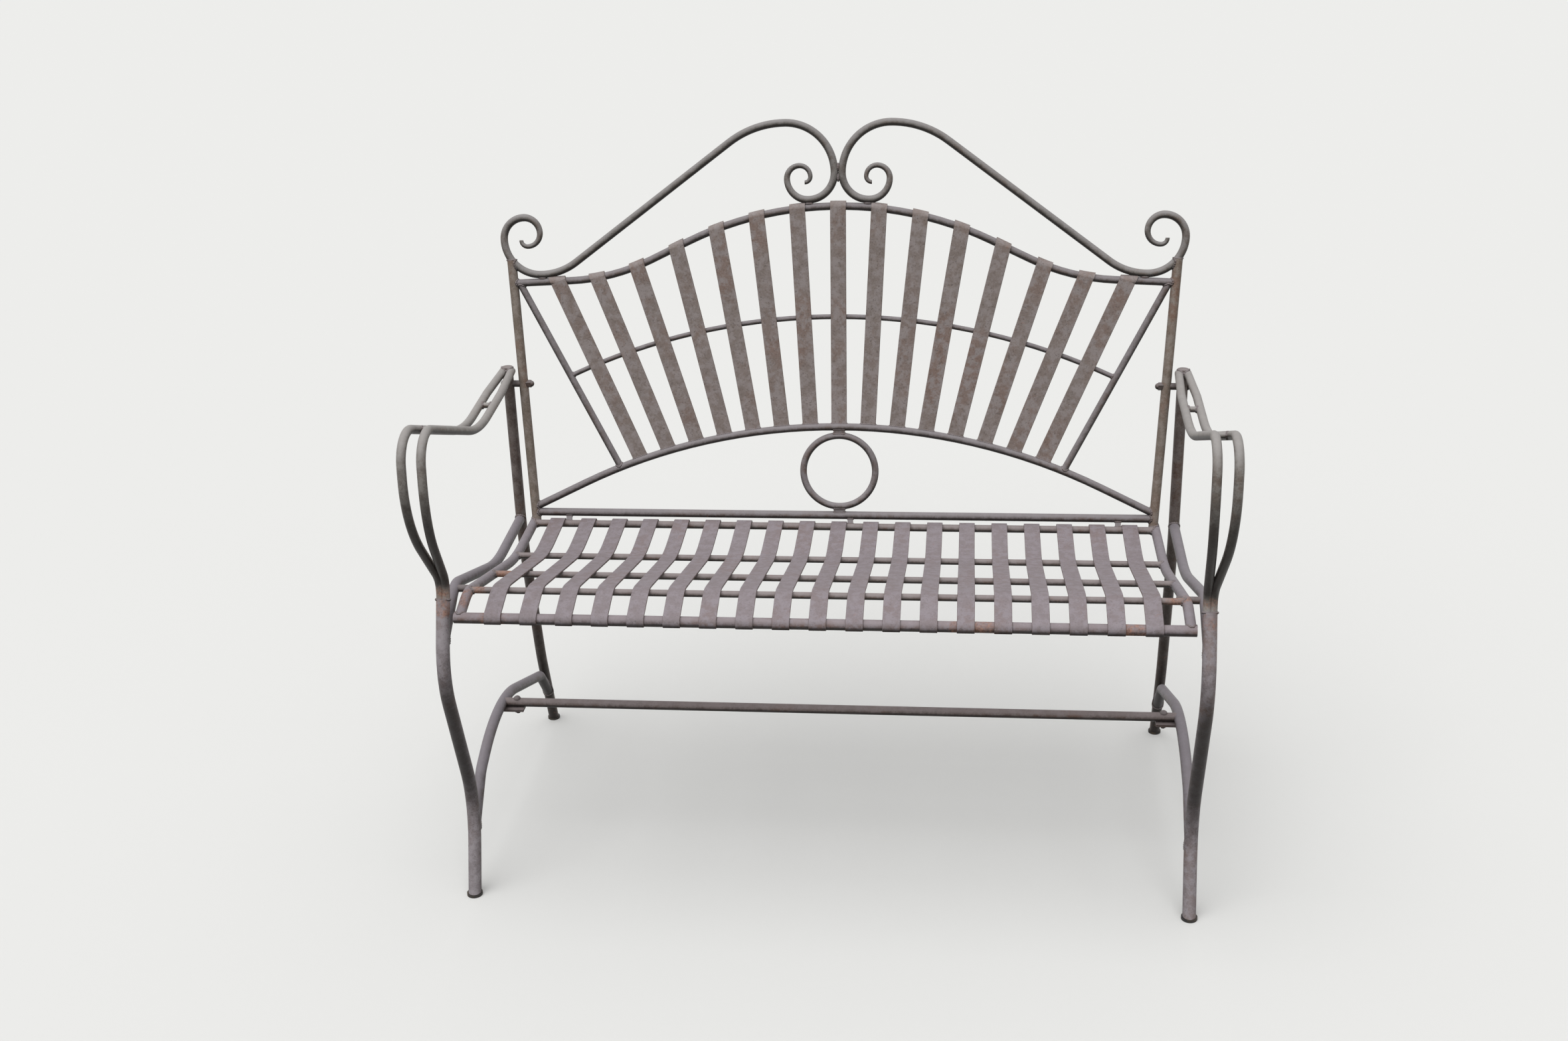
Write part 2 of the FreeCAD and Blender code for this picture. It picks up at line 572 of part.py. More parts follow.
# Top rail, low arch, bottom rail
top_corners = half_and_mirror([(post_x(TOP_END_HEIGHT), TOP_END_HEIGHT),
                               (TOP_SHOULDER_X, TOP_SHOULDER_HEIGHT), (0, TOP_CROWN_HEIGHT)])
top_wire = bend(top_corners, (TOP_SHOULDER_BEND, TOP_CROWN_BEND, TOP_SHOULDER_BEND))
low_corners = half_and_mirror([(post_x(LOW_ARCH_END_HEIGHT), LOW_ARCH_END_HEIGHT),
                               (0, LOW_ARCH_CROWN_HEIGHT)])
low_wire = bend(low_corners, (LOW_ARCH_CROWN_BEND,))
TOP_PEAK = at_x(top_wire, 0).z
LOW_PEAK = at_x(low_wire, 0).z
top_solid = sweep(top_wire, FAN_RAIL_BAR)
low_solid = sweep(low_wire, FAN_ARCH_BAR)
bottom_solid = rod(upright(-post_x(0), 0), upright(post_x(0), 0), BOTTOM_RAIL_BAR)

# Scroll: one bar from the centre curl, over the long run, to the corner volute
CURL_X = SCROLL_BAR / 2 + CURL_BENDS[1]
CURL_OUT = CURL_BENDS[1] + SCROLL_BAR / 2
CROWN_CENTRE = TOP_PEAK - TOP_CROWN_BEND
CROWN_OUT = TOP_CROWN_BEND + FAN_RAIL_BAR / 2
CURL_HEIGHT = CROWN_CENTRE + math.sqrt((CROWN_OUT + CURL_OUT) ** 2 - CURL_X ** 2)
PEAK = (SCROLL_BAR / 2 + CURL_BENDS[0], CURL_HEIGHT + CURL_BENDS[0])


def run_length():
    """Length of the straight run that lets the hollow below it rest on the top rail's end."""
    slope = math.radians(RUN_SLOPE)
    end_x, end_height = post_x(TOP_END_HEIGHT), TOP_END_HEIGHT
    length = math.hypot(end_x - TOP_SHOULDER_X, end_height - TOP_SHOULDER_HEIGHT)
    normal = ((TOP_SHOULDER_HEIGHT - end_height) / length, (end_x - TOP_SHOULDER_X) / length)
    start_x = PEAK[0] + PEAK_BEND * math.sin(slope) + HOLLOW_BEND * math.sin(slope)
    start_h = PEAK[1] - PEAK_BEND * (1 - math.cos(slope)) + HOLLOW_BEND * math.cos(slope)
    stand = (start_x - TOP_SHOULDER_X) * normal[0] + (start_h - TOP_SHOULDER_HEIGHT) * normal[1]
    seat = HOLLOW_BEND + SCROLL_BAR / 2 + FAN_RAIL_BAR / 2
    fall = math.sin(slope) * normal[1] - math.cos(slope) * normal[0]
    return (stand - seat) / fall


def turn(place, heading, radius, degrees):
    """An arc edge that turns left by the degrees, or right if they are negative, and its end."""
    side = 1 if degrees > 0 else -1
    centre_way = math.radians(heading + 90 * side)
    centre = (place[0] + radius * math.cos(centre_way), place[1] + radius * math.sin(centre_way))
    points = []
    for share in (0, 0.5, 1):
        angle = math.radians(heading - 90 * side + degrees * share)
        points.append(upright(centre[0] + radius * math.cos(angle), centre[1] + radius * math.sin(angle)))
    return Part.Arc(*points).toShape(), (points[2].x, points[2].z), heading + degrees


def quarter_turns(place, heading, bends):
    edges = []
    for radius in bends:
        edge, place, heading = turn(place, heading, radius, 90)
        edges.append(edge)
    return edges


curl_edges = quarter_turns(PEAK, 180, CURL_BENDS)
slope_edge, run_start, run_heading = turn(PEAK, 0, PEAK_BEND, -RUN_SLOPE)
run = run_length()
run_end = (run_start[0] + run * math.cos(math.radians(run_heading)),
           run_start[1] + run * math.sin(math.radians(run_heading)))
run_edge = Part.makeLine(upright(*run_start), upright(*run_end))
hollow_edge, hollow_end, hollow_heading = turn(run_end, run_heading, HOLLOW_BEND, RUN_SLOPE)
volute_edges = quarter_turns(hollow_end, hollow_heading, VOLUTE_BENDS)
plain_edges = (curl_edges[:CURL_PLAIN_BENDS] + [slope_edge, run_edge, hollow_edge]
               + volute_edges[:VOLUTE_PLAIN_BENDS])
scroll_solid = sweep(Part.Wire(Part.sortEdges(plain_edges)[0]), SCROLL_BAR)
for tail in (curl_edges[CURL_PLAIN_BENDS:], volute_edges[VOLUTE_PLAIN_BENDS:]):
    scroll_solid = scroll_solid.fuse(sweep(Part.Wire(tail), SCROLL_BAR, SCROLL_TIP))
scroll_solid = one_solid(scroll_solid)
both_sides("back_scroll", leaned(scroll_solid))

# Back posts, standing on the seat's side rails and running up to the scroll
scroll_wire = Part.Wire([volute_edges[0]])
post_line = Part.makeLine(upright(post_x(0), 0), upright(post_x(REACH), REACH))
post_top = scroll_wire.distToShape(post_line)[1][0][0]
post_foot = upright(post_x(-BOTTOM_RAIL_RISE - POST_PAST), -BOTTOM_RAIL_RISE - POST_PAST)
post_filled = rod(post_foot, post_top, BACK_POST_TUBE).cut(scroll_solid)
post_filled = one_solid(leaned(post_filled).cut(side_solid).cut(rear_rail))
post_bore = leaned(rod(post_foot, post_top, BACK_POST_TUBE - 2 * TUBE_WALL))
post_flat = rod(post_foot, post_top, BACK_POST_TUBE)


def between_posts(bar):
    return one_solid(bar.cut(post_flat).cut(mirrored(post_flat)))


top_solid = between_posts(top_solid)
bottom_solid = between_posts(bottom_solid)
low_solid = between_posts(low_solid).cut(bottom_solid)
low_solid = one_solid(low_solid)
parts["fan_top_rail"] = leaned(top_solid)
parts["back_bottom_rail"] = leaned(bottom_solid)
parts["fan_low_arch"] = leaned(low_solid)

# Diagonals and the thin rod that ties the slats behind
diagonal_top = at_x(top_wire, DIAGONAL_TOP_X)
diagonal_foot = at_x(low_wire, DIAGONAL_FOOT_X)
diagonal_bar = rod(diagonal_foot, diagonal_top, DIAGONAL_BAR)
diagonal_bar = one_solid(diagonal_bar.cut(post_flat).cut(top_solid).cut(low_solid))
both_sides("fan_diagonal", leaned(diagonal_bar))
SLAT_FRONT = FAN_RAIL_BAR / 2 + BACK_SLAT_RAIL_GAP + SLAT_THICK / 2
slat_share = (MID_ROD_PEAK_HEIGHT - LOW_PEAK) / (TOP_PEAK - LOW_PEAK)
MID_ROD_DEPTH = -SLAT_FRONT * slat_share + SLAT_THICK / 2 + MID_ROD / 2 + MID_ROD_GAP
tilt_share = (MID_ROD_END_HEIGHT - diagonal_foot.z) / (diagonal_top.z - diagonal_foot.z)
mid_x = diagonal_foot.x + (diagonal_top.x - diagonal_foot.x) * tilt_share
mid_arc = Part.Arc(upright(-mid_x, MID_ROD_END_HEIGHT, MID_ROD_DEPTH),
                   upright(0, MID_ROD_PEAK_HEIGHT, MID_ROD_DEPTH),
                   upright(mid_x, MID_ROD_END_HEIGHT, MID_ROD_DEPTH)).toShape()
mid_solid = sweep(Part.Wire([mid_arc]), MID_ROD)
diagonal_way = (diagonal_top - diagonal_foot).normalize()
fanward = Vector(-diagonal_way.z, 0, diagonal_way.x)
butt = diagonal_foot + fanward * (DIAGONAL_BAR / 2) - Vector(0, REACH / 2, 0)
outline = [butt - diagonal_way * REACH, butt + diagonal_way * REACH,
           butt + diagonal_way * REACH - fanward * REACH, butt - diagonal_way * REACH - fanward * REACH]
past_diagonal = Part.Face(Part.makePolygon(outline + outline[:1])).extrude(Vector(0, REACH, 0))
mid_solid = one_solid(mid_solid.cut(past_diagonal).cut(mirrored(past_diagonal)))
parts["fan_mid_rod"] = leaned(mid_solid)

# Back slats: flat bars that stand on the low arch, with their heads hammered thin over the top rail
lap_thick = SLAT_THICK - BACK_SLAT_LAP_THINNING
lap_sleeve = sweep(top_wire, FAN_RAIL_BAR + 2 * lap_thick).cut(sweep(top_wire, FAN_RAIL_BAR))


def back_slat(number):
    foot = at_x(low_wire, number * BACK_SLAT_FOOT_PITCH)
    head = at_x(top_wire, number * BACK_SLAT_TOP_PITCH) - Vector(0, SLAT_FRONT, 0)
    along = (head - foot).normalize()
    across = Vector(along.z, 0, -along.x).normalize()
    through = along.cross(across).normalize()
    length = (head - foot).Length

    def block(start, end, front, back):
        """A block on the slat's width, between two lengths along it and two depths through it."""
        corner = foot + along * start - across * (BACK_SLAT_WIDTH / 2) - through * front
        outline = [corner, corner + across * BACK_SLAT_WIDTH]
        outline += [outline[1] + through * (front + back), corner + through * (front + back)]
        return Part.Face(Part.makePolygon(outline + outline[:1])).extrude(along * (end - start))

    bar = block(0, length, SLAT_THICK / 2, SLAT_THICK / 2)
    rolled = [edge for edge in bar.Edges if edge.Length > length - SLAT_THICK]
    bar = bar.makeFillet(SLAT_EDGE_ROUND, rolled)
    lap_block = block(length, length + BACK_SLAT_WIDTH, FAN_RAIL_BAR, SLAT_FRONT + BACK_SLAT_LAP)
    lap = lap_sleeve.common(lap_block)
    slat_solid = bar.cut(low_solid).fuse(lap).cut(scroll_solid)
    return one_solid(slat_solid.removeSplitter())


parts["back_slat_centre"] = leaned(back_slat(0))
for number in range(1, BACK_SLAT_COUNT // 2 + 1):
    slat = leaned(back_slat(number))
    parts["back_slat_pair_%d" % number] = Part.makeCompound([mirrored(slat), slat])

# Ring between the bottom rail and the low arch, on a pad at top and bottom
RING_LOW = BOTTOM_RAIL_BAR / 2 + RING_PAD
RING_HIGH = LOW_PEAK - FAN_ARCH_BAR / 2 - RING_PAD
RING_RADIUS = (RING_HIGH - RING_LOW - RING_BAR) / 2
ring_centre = upright(0, (RING_LOW + RING_HIGH) / 2)
ring_solid = Part.makeTorus(RING_RADIUS, RING_BAR / 2, ring_centre, Vector(0, 1, 0))
parts["back_ring"] = leaned(ring_solid)
pads = []
for low_end, high_end in ((0, RING_LOW + RING_BAR / 2), (RING_HIGH - RING_BAR / 2, LOW_PEAK)):
    pad = Part.makeBox(RING_PAD_WIDTH, RING_PAD_DEPTH, high_end - low_end,
                       Vector(-RING_PAD_WIDTH / 2, -RING_PAD_DEPTH / 2, low_end))
    pads.append(leaned(one_solid(pad.cut(ring_solid).cut(bottom_solid).cut(low_solid))))
parts["ring_pads"] = Part.makeCompound(pads)

# Links from the back's bottom rail down to the seat's rear rail, each beside a slat
beside_slat = (SEAT_SLAT_WIDTH + LINK_WIDTH) / 2 + LINK_GAP
last_slat = (SEAT_SLAT_COUNT - 1) / 2 * SLAT_PITCH
links = []
for link_x in (beside_slat - last_slat, beside_slat, last_slat - beside_slat):
    link_low = Vector(link_x, *REAR_RAIL_AXIS)
    link_rise = Vector(0, -REAR_RAIL_AXIS[0], BACK_FOOT_Z - REAR_RAIL_AXIS[1])
    wide = Vector(LINK_WIDTH / 2, 0, 0)
    thick = link_rise.cross(wide).normalize() * (LINK_THICK / 2)
    outline = [link_low - wide - thick, link_low + wide - thick,
               link_low + wide + thick, link_low - wide + thick]
    link = Part.Face(Part.makePolygon(outline + outline[:1])).extrude(link_rise)
    links.append(one_solid(link.cut(rear_rail).cut(leaned(bottom_solid))))
parts["back_links"] = Part.makeCompound(links)


# Fasteners
def hex_prism(base, direction, height):
    """A hexagonal nut body along X or along a direction in the side plane."""
    corner = NUT_ACROSS / (2 * math.cos(math.radians(30)))
    angles = [math.radians(60 * side) for side in range(7)]
    outline = [Vector(corner * math.cos(angle), corner * math.sin(angle), 0) for angle in angles]
    prism = Part.Face(Part.makePolygon(outline)).extrude(Vector(0, 0, height))
    prism.Placement = FreeCAD.Placement(base, FreeCAD.Rotation(Vector(0, 0, 1), direction))
    return prism


def domed(base, direction, diameter, height):
    """A low domed head: a ball cut off by the face that it sits on."""
    radius = (diameter ** 2 / 4 + height ** 2) / (2 * height)
    ball = Part.makeSphere(radius, base + direction * (height - radius))
    keep = Part.makeCylinder(diameter, height, base, direction)
    return one_solid(ball.common(keep))


def bolt(head_base, head_way, tail_end):
    """A domed head with a plain shank down to its tail."""
    head = domed(head_base, head_way, BOLT_HEAD, BOLT_HEAD_HEIGHT)
    return one_solid(head.fuse(rod(head_base, tail_end, BOLT)).removeSplitter())


def nut(base, direction, height):
    thread = rod(base, base + direction * height, BOLT + 2 * THREAD_GAP)
    return one_solid(hex_prism(base, direction, height).cut(thread))


# Back bolts: through the rear leg, a spacer and the back post, with a cap nut inside
post_at_bolt = post_x(BOLT_HEIGHT)
out_face = Vector(FRAME_HALF + REAR_LEG_TUBE / 2, REAR_LEG_Y, BOLT_Z)
inner_x = post_at_bolt - BACK_POST_TUBE / 2
across_hole = rod(Vector(inner_x - NUT_HEIGHT, REAR_LEG_Y, BOLT_Z),
                  out_face + Vector(NUT_HEIGHT, 0, 0), HOLE)
both_sides("rear_leg", one_solid(rear_solid.cut(rear_bore).cut(across_hole)))
both_sides("back_post", one_solid(post_filled.cut(post_bore).cut(across_hole)))
back_spacer = rod(Vector(post_at_bolt, REAR_LEG_Y, BOLT_Z),
                  Vector(FRAME_HALF, REAR_LEG_Y, BOLT_Z), SPACER_TUBE)
back_spacer = one_solid(back_spacer.cut(rear_solid).cut(post_filled).cut(across_hole))
parts["back_spacers"] = Part.makeCompound([back_spacer, mirrored(back_spacer)])
inward = Vector(-1, 0, 0)
nut_seat = Vector(post_at_bolt, REAR_LEG_Y, BOLT_Z)
cap_reach = BACK_POST_TUBE / 2 + NUT_HEIGHT
cap = hex_prism(nut_seat, inward, cap_reach)
cap_dome = domed(nut_seat + inward * cap_reach, inward, NUT_ACROSS - CAP_NUT_STEP, CAP_NUT_DOME)
cap = cap.fuse(cap_dome)
thread = rod(nut_seat, nut_seat + inward * (cap_reach + BOLT_TAIL / 2), BOLT + 2 * THREAD_GAP)
cap = one_solid(cap.cut(post_filled).cut(thread))
parts["back_cap_nuts"] = Part.makeCompound([cap, mirrored(cap)])
back_bolt = bolt(out_face, Vector(1, 0, 0), nut_seat + inward * cap_reach)
parts["back_bolts"] = Part.makeCompound([back_bolt, mirrored(back_bolt)])

# Seat bolts: through the support rail, a spacer and the seat's side rail, with a nut inside
seat_spacer = rod(seat_pin, support_pin, SPACER_TUBE)
seat_spacer = one_solid(seat_spacer.cut(support_solid).cut(side_solid).cut(seat_hole))
parts["seat_spacers"] = Part.makeCompound([seat_spacer, mirrored(seat_spacer)])
nut_reach = SEAT_SIDE_TUBE / 2 + NUT_HEIGHT
seat_nut = one_solid(nut(seat_pin, inward, nut_reach).cut(side_solid))
seat_bolt_head = support_pin + Vector(SUPPORT_TUBE / 2, 0, 0)
seat_bolt = bolt(seat_bolt_head, Vector(1, 0, 0), seat_pin + inward * (nut_reach + BOLT_TAIL))

# Stretcher bolts: down through the stretcher and its tab
stretcher_top = Vector(STRETCHER_BOLT_X, STRETCHER_Y, tab_top + STRETCHER_TUBE)
tab_underside = Vector(STRETCHER_BOLT_X, STRETCHER_Y, tab_top - TAB_THICK)
plumb = Vector(0, 0, -1)
stretcher_bolt = bolt(stretcher_top, Vector(0, 0, 1), tab_underside + plumb * (NUT_HEIGHT + BOLT_TAIL))
stretcher_nut = nut(tab_underside, plumb, NUT_HEIGHT)
parts["seat_bolts"] = Part.makeCompound([seat_bolt, mirrored(seat_bolt)])
parts["stretcher_bolts"] = Part.makeCompound([stretcher_bolt, mirrored(stretcher_bolt)])
nuts = [seat_nut, stretcher_nut]
parts["hex_nuts"] = Part.makeCompound(nuts + [mirrored(one) for one in nuts])

# Centre the bench over the origin and write one file for each node
boxes = [shape.optimalBoundingBox() for shape in parts.values()]
centre_y = (min(box.YMin for box in boxes) + max(box.YMax for box in boxes)) / 2
os.makedirs("parts", exist_ok=True)
for name, shape in parts.items():
    shape.translated(Vector(0, -centre_y, 0)).exportStep("parts/%s.step" % name)
low = [min(getattr(box, key) for box in boxes) for key in ("XMin", "YMin", "ZMin")]
high = [max(getattr(box, key) for box in boxes) for key in ("XMax", "YMax", "ZMax")]
print(len(parts), "nodes, moved by", round(-centre_y, 3), "in Y")
print("box", [round(value, 1) for value in low], [round(value, 1) for value in high])
for name, shape in parts.items():
    if not shape.isValid():
        print("not valid:", name)
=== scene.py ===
import math

import bmesh
import bpy
from mathutils import Matrix, Vector


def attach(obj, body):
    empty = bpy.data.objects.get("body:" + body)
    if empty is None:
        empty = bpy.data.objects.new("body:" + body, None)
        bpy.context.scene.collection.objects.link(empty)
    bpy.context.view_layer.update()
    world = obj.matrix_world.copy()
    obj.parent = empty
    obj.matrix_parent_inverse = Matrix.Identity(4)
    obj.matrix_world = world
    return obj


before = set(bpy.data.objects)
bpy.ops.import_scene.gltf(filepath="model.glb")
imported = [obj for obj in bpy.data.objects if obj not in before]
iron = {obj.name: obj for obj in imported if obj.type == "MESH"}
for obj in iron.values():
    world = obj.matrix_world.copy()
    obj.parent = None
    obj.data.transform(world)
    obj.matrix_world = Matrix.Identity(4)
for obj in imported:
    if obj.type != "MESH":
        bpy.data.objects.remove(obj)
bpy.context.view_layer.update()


# Front and rear legs: four bent round steel tubes that stand on plastic feet.
# They were sprayed dark brown, and years of rain have left the paint mottled, chalky on its
# upper sides and thin enough for rust to bloom through in places. Tops carry a painted highlight, undersides
# painted shade.
def put(tree, kind, feeds=None, **settings):
    """Adds one node, sets its properties, and feeds its inputs with values or other nodes' outputs."""
    made = tree.nodes.new(kind)
    for key, value in settings.items():
        setattr(made, key, value)
    for key, value in (feeds or {}).items():
        if isinstance(value, bpy.types.NodeSocket):
            tree.links.new(value, made.inputs[key])
        else:
            made.inputs[key].default_value = value
    return made


def reckon(tree, operation, first, second):
    """One step of arithmetic on two values."""
    return put(tree, "ShaderNodeMath", {0: first, 1: second}, operation=operation).outputs[0]


def fade(tree, value, low, high, at_low=0.0, at_high=1.0):
    """Carries a value over smoothly from one level to another."""
    levels = {"Value": value, "From Min": low, "From Max": high, "To Min": at_low, "To Max": at_high}
    return put(tree, "ShaderNodeMapRange", levels, interpolation_type="SMOOTHSTEP").outputs[0]


def tint(tree, share, under, over):
    """Lays one colour over another by a share."""
    return put(tree, "ShaderNodeMix", {0: share, 6: under, 7: over}, data_type="RGBA").outputs[2]


def cloud(tree, where, scale, detail=4.0, roughness=0.6):
    """A cloudy noise, with its scale in clouds to the metre."""
    feeds = {"Vector": where, "Scale": scale, "Detail": detail, "Roughness": roughness}
    return put(tree, "ShaderNodeTexNoise", feeds).outputs[0]


def shade(red, green, blue):
    """A colour as it looks on screen, in the shader's own linear scale, by the sRGB curve."""
    parts = [part / 255 for part in (red, green, blue)]
    linear = [part / 12.92 if part <= 0.04045 else ((part + 0.055) / 1.055) ** 2.4 for part in parts]
    return (*linear, 1.0)


def effect(name, inputs, outputs):
    """Starts a node group with its named sockets, and gives its tree, its input and its output sockets."""
    tree = bpy.data.node_groups.new(name, "ShaderNodeTree")
    kinds = {"v": "NodeSocketVector", "c": "NodeSocketColor", "f": "NodeSocketFloat"}
    for label, kind in inputs.items():
        tree.interface.new_socket(label, in_out="INPUT", socket_type=kinds[kind])
    for label, kind in outputs.items():
        tree.interface.new_socket(label, in_out="OUTPUT", socket_type=kinds[kind])
    return tree, tree.nodes.new("NodeGroupInput").outputs, tree.nodes.new("NodeGroupOutput").inputs


# Mottle: broad brown drifts, thumb-sized cloudy patches and a fine sandy grain in the paint
DRIFT_SCALE = 9.0
PATCH_SCALE = 75.0
paint_mottle, told, gives = effect(
    "paint_mottle", {"Vector": "v", "Paint": "c", "Pale": "c", "Brown": "c", "Dark": "c", "Grain": "f"},
    {"Colour": "c", "Grain": "f"})
drift = cloud(paint_mottle, told["Vector"], DRIFT_SCALE, detail=3.0)
drift = fade(paint_mottle, drift, 0.42, 0.68, at_high=0.75)
patch = cloud(paint_mottle, told["Vector"], PATCH_SCALE, detail=5.0, roughness=0.65)
patch = fade(paint_mottle, patch, 0.40, 0.62)
grain = cloud(paint_mottle, told["Vector"], told["Grain"], detail=3.0, roughness=0.7)
coat = tint(paint_mottle, drift, told["Paint"], told["Brown"])
coat = tint(paint_mottle, patch, coat, told["Pale"])
coat = tint(paint_mottle, fade(paint_mottle, grain, 0.50, 0.72, at_high=0.6), coat, told["Pale"])
coat = tint(paint_mottle, fade(paint_mottle, grain, 0.46, 0.30, at_high=0.75), coat, told["Dark"])
paint_mottle.links.new(coat, gives["Colour"])
paint_mottle.links.new(grain, gives["Grain"])

# Bleach and painted light: chalky paint on top, partly a painted sky highlight, and painted shade on what
# faces the floor
BLEACH_SHADE_SCALE = 42.0
CHALK_HIGHLIGHT_RAGGED = 0.6
SHADE_RAGGED = 0.3
bleach_highlight_shade, told, gives = effect(
    "bleach_highlight_shade", {"Colour": "c", "Chalk": "c", "Grime": "c", "Vector": "v", "Normal": "v", "Amount": "f",
                   "Shadow": "f"}, {"Colour": "c", "Mask": "f"})
height = put(bleach_highlight_shade, "ShaderNodeSeparateXYZ", {0: told["Normal"]}).outputs[2]
breakup = cloud(bleach_highlight_shade, told["Vector"], BLEACH_SHADE_SCALE, detail=5.0, roughness=0.7)
# Chalky paint and painted highlight: faces that point up take the pale chalky colour, which also stands in
# for light from the sky
upward = reckon(bleach_highlight_shade, "ADD", height, reckon(bleach_highlight_shade, "MULTIPLY", breakup, CHALK_HIGHLIGHT_RAGGED))
chalk = reckon(bleach_highlight_shade, "MULTIPLY", fade(bleach_highlight_shade, upward, 0.25, 1.05), told["Amount"])
# Painted shade: faces that point to the floor are darkened towards the shade colour
shade_mask = reckon(bleach_highlight_shade, "ADD", height, reckon(bleach_highlight_shade, "MULTIPLY", breakup, SHADE_RAGGED))
shade_mask = reckon(bleach_highlight_shade, "MULTIPLY", fade(bleach_highlight_shade, shade_mask, 0.38, -0.16), told["Shadow"])
coat = tint(bleach_highlight_shade, shade_mask, told["Colour"], told["Grime"])
bleach_highlight_shade.links.new(tint(bleach_highlight_shade, chalk, coat, told["Chalk"]), gives["Colour"])
bleach_highlight_shade.links.new(chalk, gives["Mask"])

# Rust: pinholes and blooms that eat through the paint, thicker where a place calls for it
BLOOM_SCALE = 26.0
PIN_SCALE = 210.0
SCAB_SCALE = 330.0
BLOOM_SHARE = 0.7
PIN_SHARE = 0.3
CALL_SHARE = 0.2
rust_bloom, told, gives = effect("rust_bloom", {"Colour": "c", "Rust": "c", "Scab": "c", "Vector": "v",
                                                "Amount": "f", "Place": "f"}, {"Colour": "c", "Mask": "f"})
bloom = cloud(rust_bloom, told["Vector"], BLOOM_SCALE, detail=8.0, roughness=0.72)
pins = cloud(rust_bloom, told["Vector"], PIN_SCALE, detail=3.0)
spread = reckon(rust_bloom, "MULTIPLY", bloom, BLOOM_SHARE)
for source, share in ((pins, PIN_SHARE), (told["Amount"], CALL_SHARE), (told["Place"], CALL_SHARE)):
    spread = reckon(rust_bloom, "ADD", spread, reckon(rust_bloom, "MULTIPLY", source, share))
eaten = fade(rust_bloom, spread, 0.62, 0.84, at_high=0.8)
scab = fade(rust_bloom, cloud(rust_bloom, told["Vector"], SCAB_SCALE, detail=3.0, roughness=0.7), 0.42, 0.62)
coat = tint(rust_bloom, scab, told["Rust"], told["Scab"])
rust_bloom.links.new(tint(rust_bloom, eaten, told["Colour"], coat), gives["Colour"])
rust_bloom.links.new(eaten, gives["Mask"])

# Place: a soft patch round one point, for rust that sits at a known spot
rust_place, told, gives = effect("rust_place", {"Vector": "v", "Centre": "v", "Reach": "f"}, {"Mask": "f"})
away = put(rust_place, "ShaderNodeVectorMath", {0: told["Vector"], 1: told["Centre"]}, operation="DISTANCE")
outward = reckon(rust_place, "DIVIDE", away.outputs["Value"], told["Reach"])
rust_place.links.new(fade(rust_place, outward, 1.0, 0.25), gives["Mask"])

# Edge wear: the sharp sides of a flat bar, which face along the bench, have lost paint and browned
CHIP_SCALE = 95.0
edge_wear, told, gives = effect("edge_wear", {"Colour": "c", "Worn": "c", "Vector": "v", "Normal": "v"},
                                {"Colour": "c"})
sideways = put(edge_wear, "ShaderNodeSeparateXYZ", {0: told["Normal"]}).outputs[0]
sideways = fade(edge_wear, reckon(edge_wear, "ABSOLUTE", sideways, 0.0), 0.25, 0.75)
broken = cloud(edge_wear, told["Vector"], CHIP_SCALE, detail=5.0, roughness=0.7)
broken = fade(edge_wear, broken, 0.38, 0.62, 0.15, 0.85)
worn = reckon(edge_wear, "MULTIPLY", sideways, broken)
edge_wear.links.new(tint(edge_wear, worn, told["Colour"], told["Worn"]), gives["Colour"])

# Painted shade: the dark colour laid on the underside of every painted bar
PAINTED_SHADE = shade(34, 29, 27)
RUST = shade(176, 132, 112)
SCAB = shade(126, 92, 78)
WORN = shade(92, 70, 60)
DARK_SHARE = 0.45
SHADE_SHARE = 0.9
SHEEN = 0.28
RUST_DULLS = 0.3
CHALK_DULLS = 0.12
GRAIN_DULLS = 0.12
BUMP_SHARE = 0.5
BUMP_HEIGHT = 0.0005
ROUND_BAR_GRAIN = 420.0


